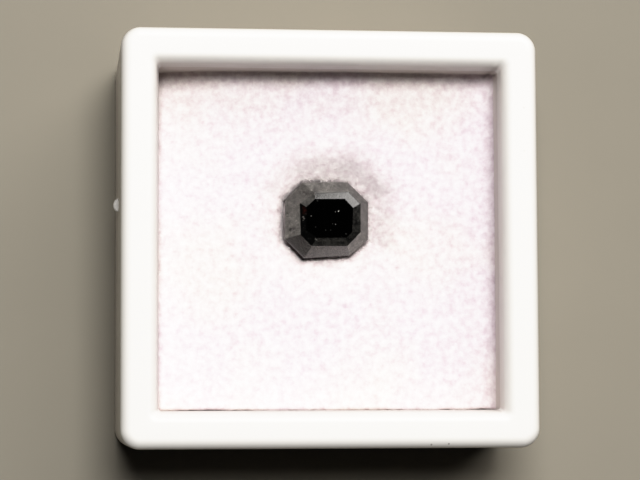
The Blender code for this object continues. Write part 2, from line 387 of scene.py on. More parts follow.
def new_material(name):
    """A material with an empty Principled shader: (material, tree, shader)."""
    made = bpy.data.materials.new(name)
    made.use_nodes = True
    tree = made.node_tree
    return made, tree, tree.nodes["Principled BSDF"]


def rgba(colour):
    """A colour property as the four numbers that a socket takes."""
    return (*colour, 1.0)


def moulded_polystyrene(name, plastic, dust=()):
    """Injection-moulded white polystyrene from a polished mould: smooth, with a satin gloss.

    Its colour is even all over, apart from the grains of dust that lie on it.
    """
    made, tree, shader = new_material(name)
    coat = rgba(plastic)
    shader.inputs["Base Color"].default_value = coat
    shader.inputs["IOR"].default_value = 1.59
    shader.inputs["Roughness"].default_value = 0.33
    if not dust:
        return made
    here = add_node(tree, "ShaderNodeTexCoord").outputs["Object"]
    from_above = add_node(tree, "ShaderNodeVectorMath", {
        0: here, 1: (1.0, 1.0, 0.0)}, operation="MULTIPLY")
    for x, y, reach, strength in dust:
        away = add_node(tree, "ShaderNodeVectorMath", {
            0: from_above, 1: (x * MM, y * MM, 0.0)}, operation="DISTANCE")
        grain = add_node(tree, "ShaderNodeMapRange", {
            "Value": away, "From Min": 0.4 * reach * MM, "From Max": reach * MM,
            "To Min": strength, "To Max": 0.0})
        dusty = add_node(tree, "ShaderNodeMix", {
            "Factor": grain, "A": coat, "B": rgba(linear(DUST_COLOUR))}, data_type="RGBA")
        coat = dusty.outputs["Result"]
    tree.links.new(coat, shader.inputs["Base Color"])
    return made


def felted_foam(settings):
    """White polyester foam with a felted face: matt, soft at grazing angles, not quite one white.

    Slow noise makes its creamy and lilac stretches; a warm ring round the stone is painted shade.
    The mottle and the nap are finer than the picture shows, so both are drawn coarser.
    """
    made, tree, shader = new_material("felted_foam")
    here = add_node(tree, "ShaderNodeTexCoord").outputs["Object"]
    slow = add_node(tree, "ShaderNodeTexNoise", {
        "Vector": here, "Scale": 1 / (9.0 * MM), "Detail": 2.0})
    blend = add_node(tree, "ShaderNodeMapRange", {
        "Value": slow, "From Min": 0.4, "From Max": 0.62})
    # Painted shade: a warm tint in a ring round the stone, where the dimple shades the foam
    beside = add_node(tree, "ShaderNodeVectorMath", {
        0: here, 1: (STONE_X, STONE_Y, PAD_HIGH.z)}, operation="DISTANCE")
    painted_dimple_shade = add_node(tree, "ShaderNodeMapRange", {
        "Value": beside, "From Min": 3.0 * MM, "From Max": 6.5 * MM, "To Min": 1.0,
        "To Max": 0.0})
    warm = add_node(tree, "ShaderNodeMath", {0: blend, 1: painted_dimple_shade}, operation="MAXIMUM")
    cast = add_node(tree, "ShaderNodeMix", {
        "Factor": warm, "A": rgba(settings.foam), "B": rgba(settings.foam_warm_and_shade)},
        data_type="RGBA")
    mottle = add_node(tree, "ShaderNodeTexNoise", {
        "Vector": here, "Scale": 1 / (0.5 * MM), "Detail": 5.0, "Roughness": 0.6})
    depth = add_node(tree, "ShaderNodeMapRange", {
        "Value": mottle, "From Min": 0.3, "From Max": 0.66})
    shade = add_node(tree, "ShaderNodeMix", {
        "Factor": depth, "A": rgba(settings.foam_shade), "B": (1.0, 1.0, 1.0, 1.0)},
        data_type="RGBA")
    shaded = add_node(tree, "ShaderNodeMix", {
        "Factor": 1.0, "A": cast, "B": shade}, data_type="RGBA", blend_type="MULTIPLY")
    tree.links.new(shaded.outputs["Result"], shader.inputs["Base Color"])
    shader.inputs["Roughness"].default_value = 0.95
    shader.inputs["Specular IOR Level"].default_value = 0.2
    shader.inputs["Sheen Weight"].default_value = 0.25
    shader.inputs["Sheen Roughness"].default_value = 0.5
    nap = add_node(tree, "ShaderNodeTexNoise", {
        "Vector": here, "Scale": 1 / (0.18 * MM), "Detail": 4.0, "Roughness": 0.7})
    bump = add_node(tree, "ShaderNodeBump", {
        "Height": nap, "Strength": 0.5, "Distance": 0.05 * MM})
    tree.links.new(bump.outputs["Normal"], shader.inputs["Normal"])
    return made


def polished_black_diamond(settings):
    """Opaque black diamond, cut and polished: mirror-like where well polished, greyer where matt.

    The mesh says how rough each facet was left (matt), how much it is pitted and how much painted
    shading lightens each facet (frost), and where inclusions tint it (rust). The polishing grain
    is drawn coarser than the real one to show.
    """
    made, tree, shader = new_material("polished_black_diamond")
    here = add_node(tree, "ShaderNodeTexCoord").outputs["Object"]
    matt, frost_and_shading, rust = (
        add_node(tree, "ShaderNodeAttribute", attribute_name=name).outputs["Fac"]
        for name in ("matt", "frost_and_shading", "rust"))
    stained = add_node(tree, "ShaderNodeMix", {
        "Factor": rust, "A": rgba(settings.black), "B": rgba(settings.rust)}, data_type="RGBA")
    fleck = add_node(tree, "ShaderNodeTexNoise", {
        "Vector": here, "Scale": 1 / (0.07 * MM), "Detail": 2.0})
    flecked = add_node(tree, "ShaderNodeMapRange", {
        "Value": fleck, "From Min": 0.35, "From Max": 0.65, "To Min": 0.4, "To Max": 1.6})
    pale = add_node(tree, "ShaderNodeMath", {
        0: frost_and_shading, 1: flecked}, operation="MULTIPLY", use_clamp=True)
    colour = add_node(tree, "ShaderNodeMix", {
        "Factor": pale, "A": stained, "B": rgba(settings.frost_and_shading)}, data_type="RGBA")
    tree.links.new(colour.outputs["Result"], shader.inputs["Base Color"])
    shader.inputs["IOR"].default_value = 2.42
    grain = add_node(tree, "ShaderNodeTexNoise", {
        "Vector": here, "Scale": 1 / (0.16 * MM), "Detail": 4.0, "Roughness": 0.75})
    spread = add_node(tree, "ShaderNodeMapRange", {
        "Value": grain, "From Min": 0.3, "From Max": 0.7, "To Min": 0.75, "To Max": 1.35})
    uneven = add_node(tree, "ShaderNodeMath", {0: matt, 1: spread}, operation="MULTIPLY")
    rough = add_node(tree, "ShaderNodeMix", {
        "Factor": frost_and_shading, "A": uneven, "B": 0.6}, data_type="FLOAT")
    tree.links.new(rough.outputs["Result"], shader.inputs["Roughness"])
    scratched = add_node(tree, "ShaderNodeMath", {0: grain, 1: matt}, operation="MULTIPLY")
    bump = add_node(tree, "ShaderNodeBump", {
        "Height": scratched, "Strength": 0.6, "Distance": 0.15 * MM})
    tree.links.new(bump.outputs["Normal"], shader.inputs["Normal"])
    return made


def add_object(name, data):
    """A linked object that holds the given data."""
    made = bpy.data.objects.new(name, data)
    bpy.context.collection.objects.link(made)
    return made


def link_mesh(name, points, faces, material, sharp=math.radians(40)):
    """A linked object, with its place in its mesh, from points and faces."""
    data = bpy.data.meshes.new(name)
    data.from_pydata([tuple(p) for p in points], [], faces)
    data.validate()
    data.materials.append(material)
    data.shade_smooth()
    data.set_sharp_from_angle(angle=sharp)
    return add_object(name, data)


def rounded_square(side, radius, height, per_corner=14, per_side=6):
    """Points, anticlockwise, round a square with round corners."""
    reach = side / 2 - radius
    turns = [step / per_corner * math.pi / 2 for step in range(per_corner + 1)]
    quarter = [(reach + radius * math.cos(a), reach + radius * math.sin(a)) for a in turns]
    quarter += [(reach - 2 * reach * step / per_side, side / 2) for step in range(1, per_side)]
    points = []
    for cos, sin in ((1, 0), (0, 1), (-1, 0), (0, -1)):
        points += [(x * cos - y * sin, x * sin + y * cos, height) for x, y in quarter]
    return points


def quarter_round(run, drop, steps=10):
    """Pairs (run, drop) along a quarter ellipse that starts level and ends upright."""
    turns = [step / steps * math.pi / 2 for step in range(steps + 1)]
    return [(run * math.sin(turn), drop * (1 - math.cos(turn))) for turn in turns]


def loft(name, rings, material, closed=False):
    """A solid skin over rings of equal count that run anticlockwise from the underside up."""
    count = len(rings[0])
    points = [p for ring in rings for p in ring]
    last = len(rings) if closed else len(rings) - 1
    faces = []
    for r in range(last):
        low, high = r * count, (r + 1) % len(rings) * count
        for i in range(count):
            j = (i + 1) % count
            faces.append((low + i, low + j, high + j, high + i))
    if not closed:
        faces.append(tuple(reversed(range(count))))
        faces.append(tuple(range((len(rings) - 1) * count, len(rings) * count)))
    return link_mesh(name, points, faces, material)


def place_piece(piece, node):
    """Makes a piece ride on the box in place of a node of the packed model."""
    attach(piece, BODY)
    if node:
        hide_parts(node)


def outer_ring(inset, height):
    """A ring on the box's outer wall, or drawn in from it by an inset."""
    return rounded_square(BOX_SIDE - 2 * inset, CORNER_RADIUS - inset, height)


def make_base(settings):
    """The tray: rounded foot, outer wall, collar and cavity."""
    small = settings.small_round
    collar_top = LIP_UNDERSIDE - LIP_GAP
    rings = []
    for run, drop in quarter_round(settings.foot_round, settings.foot_round):
        rings.append(outer_ring(settings.foot_round - run, drop))
    for run, drop in reversed(quarter_round(small, small, 4)):
        rings.append(outer_ring(small - run, PARTING_LEVEL - drop))
    rings.append(rounded_square(COLLAR_SIDE + 2 * small, TRAY_CORNER + small, PARTING_LEVEL))
    rings.append(rounded_square(COLLAR_SIDE, TRAY_CORNER, PARTING_LEVEL + small))
    for run, drop in reversed(quarter_round(small, small, 4)):
        side = COLLAR_SIDE - 2 * (small - run)
        rings.append(rounded_square(side, TRAY_CORNER, collar_top - drop))
    for run, drop in quarter_round(small, small, 4):
        side = CAVITY_SIDE + 2 * (small - run)
        rings.append(rounded_square(side, TRAY_CORNER, collar_top - drop))
    for run, drop in reversed(quarter_round(FLOOR_FILLET, FLOOR_FILLET, 5)):
        side = CAVITY_SIDE - 2 * (FLOOR_FILLET - run)
        rings.append(rounded_square(side, TRAY_CORNER, FLOOR_LEVEL + drop))
    return loft("box_base_moulding", rings, bpy.data.materials["moulded_polystyrene_tray_painted_shade"])


def make_frame(settings):
    """The upper half: skirt, rounded outer edge, flat band, rounded inner edge and lip."""
    small = settings.small_round
    outer_round = settings.outer_round
    skirt_foot = PARTING_LEVEL + settings.parting_gap
    skirt_inner = BOX_SIDE - 2 * SKIRT_WALL
    band_side = BOX_SIDE - 2 * BAND_END
    rings = []
    for run, drop in quarter_round(small, small, 4):
        rings.append(outer_ring(small - run, skirt_foot + drop))
    for run, drop in reversed(quarter_round(outer_round, outer_round, 14)):
        rings.append(outer_ring(outer_round - run, BOX_HEIGHT - drop))
    for run, drop in quarter_round(INNER_ROUND_RUN, INNER_ROUND_DROP, 14):
        radius = OPENING_CORNER + CORNER_GROWTH * (INNER_ROUND_RUN - run)
        rings.append(rounded_square(band_side - 2 * run, radius, BOX_HEIGHT - drop))
    for run, drop in reversed(quarter_round(small, small, 4)):
        side = OPENING_SIDE + 2 * (small - run)
        rings.append(rounded_square(side, OPENING_CORNER, LIP_UNDERSIDE + drop))
    rings.append(rounded_square(skirt_inner, OPENING_CORNER, LIP_UNDERSIDE))
    rings.append(rounded_square(skirt_inner, OPENING_CORNER, skirt_foot))
    plastic = bpy.data.materials["moulded_polystyrene"]
    return loft("bezel_frame_moulding", rings, plastic, closed=True)


def make_tab():
    """The half-round thumb tab with softened edges, let into the frame's left wall."""
    arc = quarter_round(TAB_SOFT, TAB_SOFT, 4)
    levels = [(TAB_SOFT - run, TAB_TOP - TAB_THICKNESS + drop) for run, drop in arc]
    levels += [(TAB_SOFT - run, TAB_TOP - drop) for run, drop in reversed(arc)]
    rings = []
    for shrink, height in levels:
        ring = []
        for step in range(TAB_STEPS):
            angle = step / TAB_STEPS * 2 * math.pi
            reach = TAB_PROUD + TAB_INSET - shrink
            x = -BOX_SIDE / 2 + TAB_INSET + reach * math.cos(angle)
            y = TAB_Y + (TAB_WIDTH / 2 - shrink) * math.sin(angle)
            ring.append((x, y, height))
        rings.append(ring)
    return loft("bezel_frame_tab", rings, bpy.data.materials["moulded_polystyrene"])


def beyond_stone(x, y):
    """How far points lie outside the stone's girdle outline, negative inside it."""
    corners = np.array(GIRDLE) * MM + np.array([STONE_X, STONE_Y])
    away = np.full_like(x, -np.inf)
    for start, end in zip(corners, np.roll(corners, -1, axis=0)):
        along = (end - start) / np.linalg.norm(end - start)
        away = np.maximum(away, (x - start[0]) * along[1] - (y - start[1]) * along[0])
    return away


def smooth_noise(x, y, cell, seed):
    """Smooth noise from -1 to 1 on a square lattice with cells of the given size.

    The lattice is shifted so that the pieces lie well inside it and its lines miss their middle.
    """
    cells = 255
    draw = np.random.default_rng(seed)
    lattice = draw.uniform(-1, 1, (cells + 1, cells + 1))
    u, v = x / cell + 100.37, y / cell + 100.71
    i, j = np.floor(u).astype(int), np.floor(v).astype(int)
    s, t = u - i, v - j
    s, t = s * s * (3 - 2 * s), t * t * (3 - 2 * t)
    i, j = i % cells, j % cells
    top = lattice[i, j] * (1 - s) + lattice[i + 1, j] * s
    low = lattice[i, j + 1] * (1 - s) + lattice[i + 1, j + 1] * s
    return top * (1 - t) + low * t


def grid_lines(low, high, centre, reach):
    """Lines from low to high, finer near a centre and beside both ends."""
    lines = [low + line * MM for line in RIM_LINES]
    position = lines[-1]
    while position < high - RIM_END - 0.05 * MM:
        position += FINE_STEP if abs(position - centre) < reach else COARSE_STEP
        lines.append(position)
    lines = [line for line in lines if line < high - RIM_END]
    return np.array(lines + [high - line * MM for line in reversed(RIM_LINES)])


def pad_heights(settings, x, y, away):
    """Heights of the pad's face, for points that lie the given distances outside the stone."""
    right = back = CAVITY_SIDE / 2 - PAD_GAP
    z = np.full_like(x, PAD_HIGH.z)
    z += settings.roll_height * smooth_noise(x, y, ROLL_CELL, 1)
    for share, cell, seed in NAP_LAYERS:
        z += share * settings.nap_height * smooth_noise(x, y, cell * MM, seed)

    bearing = np.arctan2(y - STONE_Y, x - STONE_X)
    depth = settings.dimple_depth * (1 + DIMPLE_LEAN * np.cos(bearing - DIMPLE_BEARING))
    z -= depth * np.exp(-(np.maximum(away, 0) / settings.dimple_reach) ** 2)
    lean = np.cos(bearing - GROOVE_BEARING)
    ragged = sum(height * MM * smooth_noise(x, y, cell * MM, seed)
                 for height, cell, seed in RAGGED_LAYERS)
    groove = GROOVE_DEPTH * (1 - GROOVE_LEAN * lean)
    width = (GROOVE_WIDTH - GROOVE_WIDTH_LEAN * lean) * MM
    z -= groove * np.exp(-np.maximum(away + ragged, 0) / width)
    z -= np.clip(-away * POCKET_SLOPE, 0, POCKET_DEPTH)

    across, along = (x + right) / CORNER_REACH[0], (y - back) / CORNER_REACH[1]
    z -= CORNER_SINK * np.exp(-np.hypot(across, along) / MM)
    for edge, soft in ((x + right, LEFT_ROUND), (y - PAD_FRONT, FRONT_ROUND)):
        near = np.clip(soft - edge, 0, soft)
        z -= soft - np.sqrt(soft ** 2 - near ** 2)
    z += np.maximum(RIGHT_LIFT * np.clip(1 - (right - x) / RIGHT_LIFT_RUN, 0, 1) ** 2,
                    BACK_LIFT * np.clip(1 - (back - y) / BACK_LIFT_RUN, 0, 1) ** 2)
    return np.maximum(z, PAD_HIGH.z - LOWEST_FACE)


def frayed_front(x, y):
    """How far points near the pad's front edge are moved in or out by its frayed cut."""
    cut = np.clip(1 - (y - PAD_FRONT) / CUT_DEPTH, 0, 1)
    frayed = CUT_RAGGED * smooth_noise(x, np.zeros_like(x), CUT_CELL, 6)
    for middle, width, bite in CUT_BITES:
        frayed += bite * np.exp(-((x / MM - middle) / width) ** 2)
    return cut * frayed * MM


def make_pad(settings):
    """The pad: a block whose face rolls gently, dips round the stone and is felted all over."""
    edge = CAVITY_SIDE / 2 - PAD_GAP
    xs = grid_lines(-edge, edge, STONE_X, FINE_REACH_X)
    ys = grid_lines(PAD_FRONT, edge, STONE_Y, FINE_REACH_Y)
    x, y = np.meshgrid(xs, ys, indexing="ij")
    away = beyond_stone(x, y)
    z = pad_heights(settings, x, y, away)
    y = y + frayed_front(x, y)

    nx, ny = x.shape
    points = [tuple(point) for point in np.stack([x, y, z], axis=-1).reshape(-1, 3)]
    faces = []
    for i in range(nx - 1):
        for j in range(ny - 1):
            a = i * ny + j
            faces.append((a, a + ny, a + ny + 1, a + 1))
    rim = [i * ny for i in range(nx)]
    rim += [(nx - 1) * ny + j for j in range(1, ny)]
    rim += [i * ny + ny - 1 for i in range(nx - 2, -1, -1)]
    rim += [j for j in range(ny - 2, 0, -1)]
    upper = rim
    for level in (PAD_HIGH.z - RIM_FOOT, PAD_LOW.z):
        lower = list(range(len(points), len(points) + len(rim)))
        points += [(points[seat][0], points[seat][1], level) for seat in rim]
        for i in range(len(rim)):
            j = (i + 1) % len(rim)
            faces.append((lower[i], lower[j], upper[j], upper[i]))
        upper = lower
    faces.append(tuple(reversed(upper)))
    made = link_mesh("foam_pad_face", points, faces, bpy.data.materials["felted_foam"],
                     sharp=math.radians(70))
    nap = np.ones(len(points))
    nap[:x.size] += RING_FIBRES * np.exp(-((away / MM - RING_MIDDLE) / RING_WIDTH) ** 2).ravel()
    made.data.attributes.new("nap", "FLOAT", "POINT").data.foreach_set("value", nap)
    return made


def fibre_tree():
    """Geometry Nodes that strew short bent fibres over the upward faces of a mesh."""
    tree = bpy.data.node_groups.new("strewn_fibres", "GeometryNodeTree")
    sockets = tree.interface
    sockets.new_socket("Geometry", in_out="INPUT", socket_type="NodeSocketGeometry")
    for name in ("Density", "Length", "Thickness"):
        sockets.new_socket(name, in_out="INPUT", socket_type="NodeSocketFloat")
    sockets.new_socket("Seed", in_out="INPUT", socket_type="NodeSocketInt")
    sockets.new_socket("Material", in_out="INPUT", socket_type="NodeSocketMaterial")
    sockets.new_socket("Geometry", in_out="OUTPUT", socket_type="NodeSocketGeometry")
    given = add_node(tree, "NodeGroupInput").outputs

    normal = add_node(tree, "GeometryNodeInputNormal")
    upright = add_node(tree, "ShaderNodeSeparateXYZ", {0: normal})
    upward = add_node(tree, "FunctionNodeCompare", {
        "A": upright.outputs["Z"], "B": FIBRE_UPWARD}, operation="GREATER_THAN",
        data_type="FLOAT")
    nap = add_node(tree, "GeometryNodeInputNamedAttribute", {"Name": "nap"}, data_type="FLOAT")
    density = add_node(tree, "ShaderNodeMath", {
        0: given["Density"], 1: nap}, operation="MULTIPLY")
    points = add_node(tree, "GeometryNodeDistributePointsOnFaces", {
        "Mesh": given["Geometry"], "Selection": upward, "Density": density,
        "Seed": given["Seed"]})

    line = add_node(tree, "GeometryNodeCurvePrimitiveLine", {
        "Start": (-0.5, 0.0, 0.0), "End": (0.5, 0.0, 0.0)})
    parted = add_node(tree, "GeometryNodeResampleCurve", {"Curve": line, "Count": FIBRE_POINTS})
    thin = add_node(tree, "ShaderNodeMath", {
        0: given["Thickness"], 1: given["Length"]}, operation="DIVIDE")
    radius = add_node(tree, "ShaderNodeMath", {0: thin, 1: 0.5}, operation="MULTIPLY")
    section = add_node(tree, "GeometryNodeCurvePrimitiveCircle", {
        "Resolution": 3, "Radius": radius})
    fibre = add_node(tree, "GeometryNodeCurveToMesh", {
        "Curve": parted, "Profile Curve": section, "Fill Caps": True})

    turn = add_node(tree, "FunctionNodeRandomValue", {
        0: (-FIBRE_TILT, -FIBRE_TILT, 0.0), 1: (FIBRE_TILT, FIBRE_TILT, math.tau),
        "Seed": given["Seed"]}, data_type="FLOAT_VECTOR")
    grow = add_node(tree, "FunctionNodeRandomValue", {
        2: FIBRE_SIZES[0], 3: FIBRE_SIZES[1], "Seed": given["Seed"]}, data_type="FLOAT")
    size = add_node(tree, "ShaderNodeMath", {0: grow, 1: given["Length"]}, operation="MULTIPLY")
    strewn = add_node(tree, "GeometryNodeInstanceOnPoints", {
        "Points": points, "Instance": fibre, "Rotation": turn, "Scale": size})
    real = add_node(tree, "GeometryNodeRealizeInstances", {"Geometry": strewn})

    where = add_node(tree, "GeometryNodeInputPosition")
    wave = add_node(tree, "ShaderNodeTexNoise", {
        "Vector": where, "Scale": 1 / FIBRE_WAVE, "Detail": 0.0})
    centred = add_node(tree, "ShaderNodeVectorMath", {
        0: wave.outputs["Color"], 1: (0.5, 0.5, 0.5)}, operation="SUBTRACT")
    bend = add_node(tree, "ShaderNodeVectorMath", {
        0: centred, 1: FIBRE_BEND}, operation="MULTIPLY")
    bent = add_node(tree, "GeometryNodeSetPosition", {"Geometry": real, "Offset": bend})
    dressed = add_node(tree, "GeometryNodeSetMaterial", {
        "Geometry": bent, "Material": given["Material"]})
    add_node(tree, "NodeGroupOutput", {"Geometry": dressed})
    return tree


def socket_id(tree, name):
    """The identifier of a tree's input, by its name."""
    return next(item.identifier for item in tree.interface.items_tree
                if item.item_type == "SOCKET" and item.in_out == "INPUT" and item.name == name)


def baked(source, name):
    """A plain mesh object from an object as its modifiers leave it."""
    graph = bpy.context.evaluated_depsgraph_get()
    data = bpy.data.meshes.new_from_object(source.evaluated_get(graph))
    data.name = name
    return add_object(name, data)


def make_fibres(settings, pad):
    """The loose fibres of the pad's face, strewn over a copy of it.

    They are flat shaded, as smooth normals would turn so thin a section dark.
    """
    carrier = add_object("fibre_carrier", pad.data.copy())
    tree = fibre_tree()
    nodes = carrier.modifiers.new("strewn_fibres", "NODES")
    nodes.node_group = tree
    nodes[socket_id(tree, "Density")] = settings.fibre_density
    nodes[socket_id(tree, "Length")] = settings.fibre_length
    nodes[socket_id(tree, "Thickness")] = settings.fibre_thickness
    nodes[socket_id(tree, "Seed")] = settings.seed
    nodes[socket_id(tree, "Material")] = bpy.data.materials["felted_foam"]
    made = baked(carrier, "foam_pad_fibres")
    made.data.shade_flat()
    bpy.data.objects.remove(carrier)
    return made


def stone_fractions(wear, side_length):
    """Where points stand along one side of an octagon, with one close to each corner."""
    count = max(4, round(side_length / POINT_SPACING))
    close = wear / side_length
    return [0.0] + [close + (1 - 2 * close) * i / count for i in range(count + 1)]


def stone_ring(corners, fractions):
    """Points along the eight sides of an octagon, at the given fractions of each."""
    points = []
    for i in range(8):
        start, end = corners[i], corners[(i + 1) % 8]
        points += [start + (end - start) * f for f in fractions[i]]
    return np.array(points)


def stone_levels(wear):
    """Rings of the stone from the table's middle down, and which of them lie on an edge.

    A ring is (corners of its octagon, height, finish and painted shading of its eight facets).
    """
    outlines = [np.array(outline) for _, outline in CROWN_LEVELS]
    outlines += [np.array(GIRDLE) * scale + np.array([shift, 0.0])
                 for _, scale, shift in PAVILION_LEVELS]
    heights = [level[0] for level in CROWN_LEVELS + PAVILION_LEVELS]
    middle = outlines[0].mean(axis=0)
    shares = list(np.linspace(TABLE_START, 1.0, TABLE_RINGS)[:-1]) + [1 - wear / TABLE_REACH]
    levels = [(middle + (outlines[0] - middle) * share, heights[0], FINISHES_AND_SHADING[0])
              for share in shares]
    edges = []
    for step in range(len(outlines) - 1):
        edges.append(len(levels))
        levels.append((outlines[step], heights[step], FINISHES_AND_SHADING[step]))
        run = np.linalg.norm((outlines[step + 1] - outlines[step])[0])
        slope = math.hypot(run, heights[step] - heights[step + 1])
        close = min(WIDEST_RUB, wear / slope)
        count = max(2, round(slope / RING_SPACING))
        for share in np.linspace(close, 1 - close, count + 1):
            outline = outlines[step] + (outlines[step + 1] - outlines[step]) * share
            height = heights[step] + (heights[step + 1] - heights[step]) * share
            levels.append((outline, height, FINISHES_AND_SHADING[step + 1]))
    edges.append(len(levels))
    levels.append((outlines[-1], heights[-1], FINISHES_AND_SHADING[-1]))
    return levels, edges


def rub_edges(stack, edges, fractions):
    """Draws the points on an edge between facets towards their neighbours, as wear does."""
    count = stack.shape[1]
    noise = smooth_noise(stack[..., 0] + stack[..., 2] * 3, stack[..., 1], *RUB_NOISE)
    rub = 0.5 * (0.75 + 0.25 * noise)
    seat = 0
    for side in fractions:
        before, after = stack[:, (seat - 1) % count], stack[:, (seat + 1) % count]
        stack[:, seat] += ((before + after) / 2 - stack[:, seat]) * rub[:, seat][:, None]
        seat += len(side)
    for r in edges[:-1]:
        stack[r] += ((stack[r - 1] + stack[r + 1]) / 2 - stack[r]) * rub[r][:, None]


def stone_normals(stack, table_rings):
    """Unit vectors that point out of the stone at each of its points."""
    below = np.roll(stack, -1, axis=0) - np.roll(stack, 1, axis=0)
    beside = np.roll(stack, -1, axis=1) - np.roll(stack, 1, axis=1)
    outward = np.cross(below, beside)
    outward[:table_rings] = (0, 0, 1)
    outward[-1] = (0, 0, -1)
    outward /= np.maximum(np.linalg.norm(outward, axis=-1, keepdims=True), 1e-9)
    facing = (outward[..., :2] * stack[..., :2]).sum(axis=-1)
    flip = np.where((facing < 0) & (np.abs(outward[..., 2]) < 0.99), -1, 1)
    return outward * flip[..., None]


def nearness(stack, where, x, y, radius):
    """From 0 at a mark's rim to 1 in its middle, for the points where it may show."""
    apart = np.hypot(stack[..., 0] - x, stack[..., 1] - y)
    return np.where(where, np.clip(1 - (apart / radius) ** 2, 0, 1), 0)


def mark_stone(stack, outward, grey):
    """Sinks the marks and scars into the crown: how (frosted, rusty) each point is, the frost with
    the facets' painted shading.
    """
    mottle = sum(share * smooth_noise(stack[..., 0], stack[..., 1], cell, seed)
                 for share, cell, seed in GREY_LAYERS)
    frost_and_shading = grey * np.clip(1 + 0.6 * mottle, 0, None)
    rust = np.zeros(stack.shape[:2])
    above = stack[..., 2] > MARKS_DOWN_TO
    for x, y, radius, depth, whiteness, stain in MARKS:
        near = nearness(stack, above, x, y, radius)
        stack -= outward * (depth * near ** PIT_PROFILE)[..., None]
        frost_and_shading = np.maximum(frost_and_shading, whiteness * np.sqrt(near))
        rust = np.maximum(rust, stain * near)
    draw = np.random.default_rng(SCAR_SEED)
    for _ in range(SCARS):
        x, y = (draw.uniform(-spread, spread) for spread in SCAR_SPREAD)
        radius = draw.uniform(*SCAR_RADIUS)
        depth = draw.uniform(*SCAR_DEPTH)
        near = nearness(stack, above & (stack[..., 2] < SCAR_TOP), x, y, radius)
        stack -= outward * (depth * near)[..., None]
        frost_and_shading = np.maximum(frost_and_shading, SCAR_FROST * near)
    return frost_and_shading, rust


def make_stone(settings):
    """The diamond: facets of a fine mesh with rubbed edges, pits and a hint of waviness."""
    wear = settings.wear / MM
    girdle = np.array(GIRDLE)
    sides = np.linalg.norm(np.roll(girdle, -1, axis=0) - girdle, axis=1)
    fractions = [stone_fractions(wear, side) for side in sides]
    levels, edges = stone_levels(wear)
    rings, finishes_and_shading = [], []
    for outline, height, facets in levels:
        ring = stone_ring(outline, fractions)
        rings.append(np.column_stack([ring, np.full(len(ring), height)]))
        finishes_and_shading.append(np.concatenate(
            [np.tile(facet, (len(side), 1)) for facet, side in zip(facets, fractions)]))
    stack = np.array(rings)
    # The grey of each facet is partly frost and partly painted shading
    matt, grey = np.moveaxis(np.array(finishes_and_shading), -1, 0)
    rub_edges(stack, edges, fractions)
    outward = stone_normals(stack, edges[0])
    wave = smooth_noise(stack[..., 0], stack[..., 1] + stack[..., 2], *WAVE_NOISE)
    stack += outward * (wave * settings.waviness / MM)[..., None]
    frost_and_shading, rust = mark_stone(stack, outward, grey)

    points = stack.reshape(-1, 3) * MM + np.array([STONE_X, STONE_Y, GIRDLE_LEVEL])
    count = stack.shape[1]
    faces = []
    for r in range(len(stack) - 1):
        for i in range(count):
            j = (i + 1) % count
            a, b = r * count, (r + 1) * count
            faces.append((a + i, b + i, b + j, a + j))
    faces.append(tuple(range(count)))
    last = (len(stack) - 1) * count
    faces.append(tuple(reversed(range(last, last + count))))
    made = link_mesh("black_diamond_facets", points, faces,
                     bpy.data.materials["polished_black_diamond"], sharp=math.radians(60))
    for name, values in (("matt", matt), ("frost_and_shading", frost_and_shading), ("rust", rust)):
        attribute = made.data.attributes.new(name, "FLOAT", "POINT")
        attribute.data.foreach_set("value", values.ravel().astype(np.float32))
    return made


def make_floor(settings):
    """A plain pale floor with a matt, faintly uneven surface."""
    made, tree, shader = new_material("matt_floor")
    here = add_node(tree, "ShaderNodeTexCoord").outputs["Object"]
    uneven = add_node(tree, "ShaderNodeTexNoise", {
        "Vector": here, "Scale": 1 / (12 * MM), "Detail": 2.0})
    shade = add_node(tree, "ShaderNodeMapRange", {
        "Value": uneven, "To Min": 0.97, "To Max": 1.03})
    colour = add_node(tree, "ShaderNodeMix", {
        "Factor": 1.0, "A": rgba(settings.floor), "B": shade}, data_type="RGBA",
        blend_type="MULTIPLY")
    tree.links.new(colour.outputs["Result"], shader.inputs["Base Color"])
    shader.inputs["Roughness"].default_value = 0.85
    corners = [(x * FLOOR_REACH, y * FLOOR_REACH, 0)
               for x, y in ((-1, -1), (1, -1), (1, 1), (-1, 1))]
    floor = link_mesh("floor", corners, [(0, 1, 2, 3)], made)


def make_world(settings):
    """Light from all round, with a bright patch at the back right and a dark one overhead."""
    world = bpy.data.worlds.new("studio")
    bpy.context.scene.world = world
    world.use_nodes = True
    tree = world.node_tree
    sky = tree.nodes["Background"]
    looked_at = add_node(tree, "ShaderNodeTexCoord").outputs["Generated"]
    patches = []
    for (direction, fade), low, high in ((WINDOW, 0.0, settings.window_strength),
                                         (DARK_OVERHEAD, 1.0, 0.0)):
        start, end = (math.cos(math.radians(angle)) for angle in fade)
        near = add_node(tree, "ShaderNodeVectorMath", {
            0: looked_at, 1: Vector(direction).normalized()}, operation="DOT_PRODUCT")
        patches.append(add_node(tree, "ShaderNodeMapRange", {
            "Value": near, "From Min": start, "From Max": end, "To Min": low, "To Max": high},
            interpolation_type="SMOOTHSTEP").outputs["Result"])
    window, overhead = patches
    bright = add_node(tree, "ShaderNodeMath", {
        0: window, 1: settings.ambient_strength}, operation="ADD")
    strength = add_node(tree, "ShaderNodeMath", {0: bright, 1: overhead}, operation="MULTIPLY")
    sky.inputs["Color"].default_value = WORLD_COLOUR
    tree.links.new(strength.outputs["Value"], sky.inputs["Strength"])


